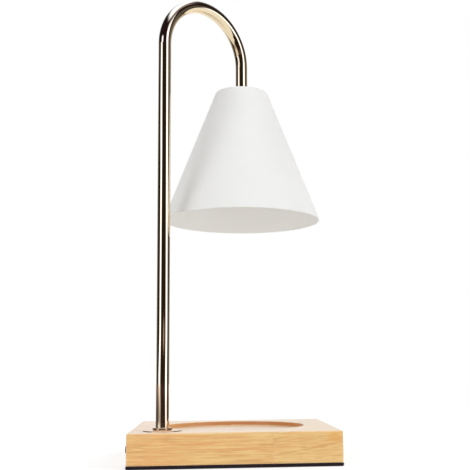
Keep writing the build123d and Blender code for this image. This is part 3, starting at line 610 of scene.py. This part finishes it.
def room():
    """The studio as polished metal shows it: dark walls, a white backdrop behind, a light on each side and
    one above. Azimuths and heights are in degrees, seen from the lamp's middle."""
    rings, sides = 24, 48
    points = [(room_radius * cos(radians(e)) * sin(a), -room_radius * cos(radians(e)) * cos(a),
               room_radius * sin(radians(e)))
              for e in [-90 + 180 * j / rings for j in range(rings + 1)]
              for a in [2 * pi * i / sides for i in range(sides)]]
    faces = [(j * sides + i, j * sides + (i + 1) % sides, (j + 1) * sides + (i + 1) % sides, (j + 1) * sides + i)
             for j in range(rings) for i in range(sides)]
    made = mesh_object("room", points, faces)
    made.location = lamp_middle
    g = Graph("room", glow=True)
    x, y, z = g.parts(g.vector("NORMALIZE", g.place))
    azimuth = g.azimuth(x, y)
    height = g.times(g.math("ARCSINE", z), 180 / pi)
    held = g.span(height, -12, 26, -12, 26)         # the height, kept to where the lights lean
    lowered = g.span(height, -2.2, 0.8, 1.0, 0.0)   # 1 below the horizon, 0 above it

    def patch(left, right, bottom, top, soft_side, soft_end, lean=0.0, bend=0.0):
        """1 inside a range of azimuth and height. It leans to the left as it rises, by a share of its
        height, and bends to the left by some degrees as it passes below the horizon."""
        side = g.plus(azimuth, g.times(held, lean), g.times(lowered, bend))
        return g.times(g.soft(side, left - soft_side, left + soft_side),
                       g.soft(side, right - soft_side, right + soft_side, 1, 0),
                       g.soft(height, bottom - soft_end, bottom + soft_end),
                       g.soft(height, top - soft_end, top + soft_end, 1, 0))

    night = (0.018, 0.009, 0.012)
    low = g.around(azimuth, [
        (-180, grey(1.10)), (-170, grey(0.85)), (-150, grey(0.52)), (-128, grey(0.18)), (-108, grey(0.03, 0.2)),
        (-92, grey(0.012, 0.4)), (30, grey(0.016, 0.5)), (84, grey(0.05, 0.1)), (108, grey(0.05, 0.1)),
        (132, grey(0.15, 0.08)), (156, grey(0.56, 0.05)), (180, grey(1.15))])
    band = g.around(azimuth, [
        (-180, grey(1.10)), (-170, grey(0.80)), (-150, grey(0.50)), (-128, grey(0.14)), (-108, grey(0.02)),
        (-92, grey(0.012, 0.2)), (30, grey(0.016, 0.4)), (84, grey(0.10, 0.1)), (108, grey(0.13, 0.1)),
        (130, grey(0.27, 0.06)), (152, grey(0.50)), (180, grey(1.15))])
    high = g.around(azimuth, [
        (-180, grey(1.15)), (-170, grey(0.45)), (-150, grey(0.12)), (-128, grey(0.03)), (-105, grey(0.014)),
        (-88, night), (30, night), (96, night), (120, grey(0.05)), (150, grey(0.13)), (170, grey(0.40)),
        (180, grey(1.15))])
    ceiling_edge = g.around(azimuth, [      # its height, as a share of 90 degrees
        (-180, grey(0.54)), (-140, grey(0.64)), (-110, grey(0.755)), (-40, grey(0.755)), (-8, grey(0.65)),
        (18, grey(0.63)), (48, grey(0.72)), (80, grey(0.765)), (135, grey(0.765)), (160, grey(0.66)),
        (180, grey(0.54))])
    above = g.minus(height, g.times(ceiling_edge, 90))
    tone = g.paint(low, [
        (g.soft(height, 6, 11), band),
        (g.soft(height, 21, 27), high),
        (patch(24, 84, 48, 66, 8, 6), (0.34, 0.29, 0.32)),
        (patch(4, 25, -0.2, 1.8, 3, 0.75), (0.40, 0.31, 0.27)),
        (patch(-61, -37, -10, 17, 5, 3, bend=7), lamp_white),
        (patch(-61, -42, -10, 17, 5, 3, bend=14), lamp_white),
        (patch(-71, -42, 15.5, 24, 5, 3), lamp_white),
        (patch(-58, -33, 25, 33, 5, 3), lamp_white),
        (patch(51, 82, -14, 38, 4, 9, lean=0.78, bend=5), lamp_white),
        (g.soft(above, -6, 8.5), ceiling_white),
    ])
    made.data.materials.append(g.finish(Color=tone))
    made.visible_camera = False
    made.visible_diffuse = False
    made.visible_transmission = False
    made.visible_volume_scatter = False
    made.visible_shadow = False


def soft_box(name, azimuth, height, distance, width, tall, radiance):
    """A soft light that points at the lamp's middle; azimuth and height are in degrees, as in the room."""
    light = bpy.data.lights.new(name, "AREA")
    light.shape = "RECTANGLE"
    light.size, light.size_y = width, tall
    light.energy = radiance * pi * width * tall
    made = bpy.data.objects.new(name, light)
    a, e = radians(azimuth), radians(height)
    away = Vector((sin(a) * cos(e), -cos(a) * cos(e), sin(e)))
    made.location = lamp_middle + away * distance
    made.rotation_mode = "QUATERNION"
    made.rotation_quaternion = away.to_track_quat("Z", "Y")
    made.visible_camera = False
    made.visible_glossy = False
    scene.collection.objects.link(made)


def floor():
    """A pale floor that shows white, and darker only where the lamp keeps light from it. To polished metal
    it shows a white sheet near the lamp and the studio's dark floor, with the lights' shine, beyond it."""
    far = floor_size
    corners = [(-far, -far, 0), (far, -far, 0), (far, far, 0), (-far, far, 0)]
    made = mesh_object("floor", corners, [(0, 1, 2, 3)])
    made.location.z = -floor_drop
    g = Graph("floor", glow=True)
    material = g.finish(Color=white, Strength=floor_glow)
    x, y, _ = g.parts(g.place)
    away = g.length(g.place)
    azimuth = g.azimuth(x, y)

    # what the camera sees: lit paper and glow near the lamp, plain white further off
    near = g.node("ShaderNodeAddShader")
    g.put(near.inputs[0], g.shader("ShaderNodeBsdfDiffuse", grey(0.42)))
    g.put(near.inputs[1], g.surface.outputs[0])
    shown = g.mix(g.soft(away, 0.35, 1.1), near.outputs[0], g.shader("ShaderNodeEmission", white))

    # the dark floor beyond the sheet and the lights' shine on it, for rays that come down steeply
    floor_dark, shine, grazed_gain = (0.020, 0.011, 0.009), (0.40, 0.37, 0.33), (1.7, 1.7, 2.0)
    steep = g.around(azimuth, [
        (-144, white), (-129.6, (0.55, 0.50, 0.44)), (-115.2, (0.15, 0.12, 0.09)),
        (-100.8, (0.035, 0.024, 0.018)), (-79.2, (0.05, 0.035, 0.025)), (-64.8, (0.9, 0.85, 0.80)),
        (-37.8, (1.15, 1.10, 1.05)), (-27, (0.12, 0.09, 0.07)), (-18, floor_dark),
        (37.8, (0.020, 0.013, 0.010)), (54, (0.65, 0.60, 0.55)), (64.8, (1.0, 0.98, 0.95)),
        (90, (0.95, 0.93, 0.90))])
    steep = g.blend(g.span(away, 0.62, 1.0, 0.65, 0.0), steep, unlit)

    # the same for rays that graze it; the left light's shine turns to the left as it gets further off
    turned = g.plus(azimuth, g.times(g.span(away, 1.2, 2.2, 0.0, 6.5), g.span(azimuth, 10, -10)))
    grazed = g.around(turned, [
        (-180, white), (-169.2, shine), (-154.8, (0.10, 0.08, 0.07)), (-100.8, (0.075, 0.058, 0.046)),
        (-70.2, (0.085, 0.065, 0.050)), (-59.4, shine), (-39.6, shine), (-28.8, (0.05, 0.035, 0.025)),
        (-18, floor_dark), (43.2, floor_dark), (51.12, (0.98, 1.0, 1.0)), (69.12, (0.98, 1.0, 1.0)),
        (78.12, (0.055, 0.040, 0.028)), (122.4, (0.05, 0.036, 0.024)), (151.2, (0.30, 0.26, 0.21)),
        (180, white)])
    grazed = g.scaled(g.scaled(grazed, grazed_gain), g.span(away, 1.2, 2.6, 1.0, 1.60))
    low = g.soft(g.node("ShaderNodeLayerWeight").outputs["Facing"], 0.88, 0.915)
    beyond = g.blend(low, steep, grazed)

    # where the sheet ends: in front, at the left, and for grazing rays at the sides and past its round edge
    from_pole = g.from_point(pole_foot)
    pole_away = g.length(from_pole)
    pole_side, pole_back, _ = g.parts(from_pole)
    reach = g.span(g.azimuth(pole_side, pole_back), -50, -22, 0.565, 0.390)
    past = g.soft(g.minus(pole_away, reach), -0.010, 0.012)
    beside = g.soft(g.absolute(azimuth), 70, 82)
    front = g.soft(g.plus(y, g.times(x, 0.33)), -0.57, -0.51, 1, 0)
    left = g.soft(x, -0.62, -0.54, 1, 0.10)
    ended = g.largest(front, left, g.times(low, g.largest(beside, past)))
    dimmed = g.times(g.span(pole_away, 1.2, 0.6, 0.0, 0.34), g.span(azimuth, -10, -20))
    beyond = g.blend(dimmed, beyond, unlit)

    glossy = g.node("ShaderNodeLightPath").outputs["Is Glossy Ray"]
    mirrored = g.mix(g.times(ended, glossy), shown, g.shader("ShaderNodeEmission", beyond))
    paper = g.shader("ShaderNodeBsdfDiffuse", (0.92, 0.92, 0.915))
    g.put(g.output.inputs["Surface"], g.mix(seen_as_background(g.tree), paper, mirrored))
    made.data.materials.append(material)


world()
floor()
room()
soft_box("key", 56, 24, 1.5, 0.9, 1.1, 1.98)
soft_box("left_box", -56, 14, 1.5, 0.8, 0.8, 1.98)
soft_box("top_box", 0, 80, 1.6, 1.2, 1.2, 1.2)
soft_box("back_left", -125, 15, 1.5, 0.8, 0.8, 1.0)
soft_box("back_right", 130, 15, 1.5, 0.8, 0.8, 2.1)

scene.view_settings.view_transform = "Standard"
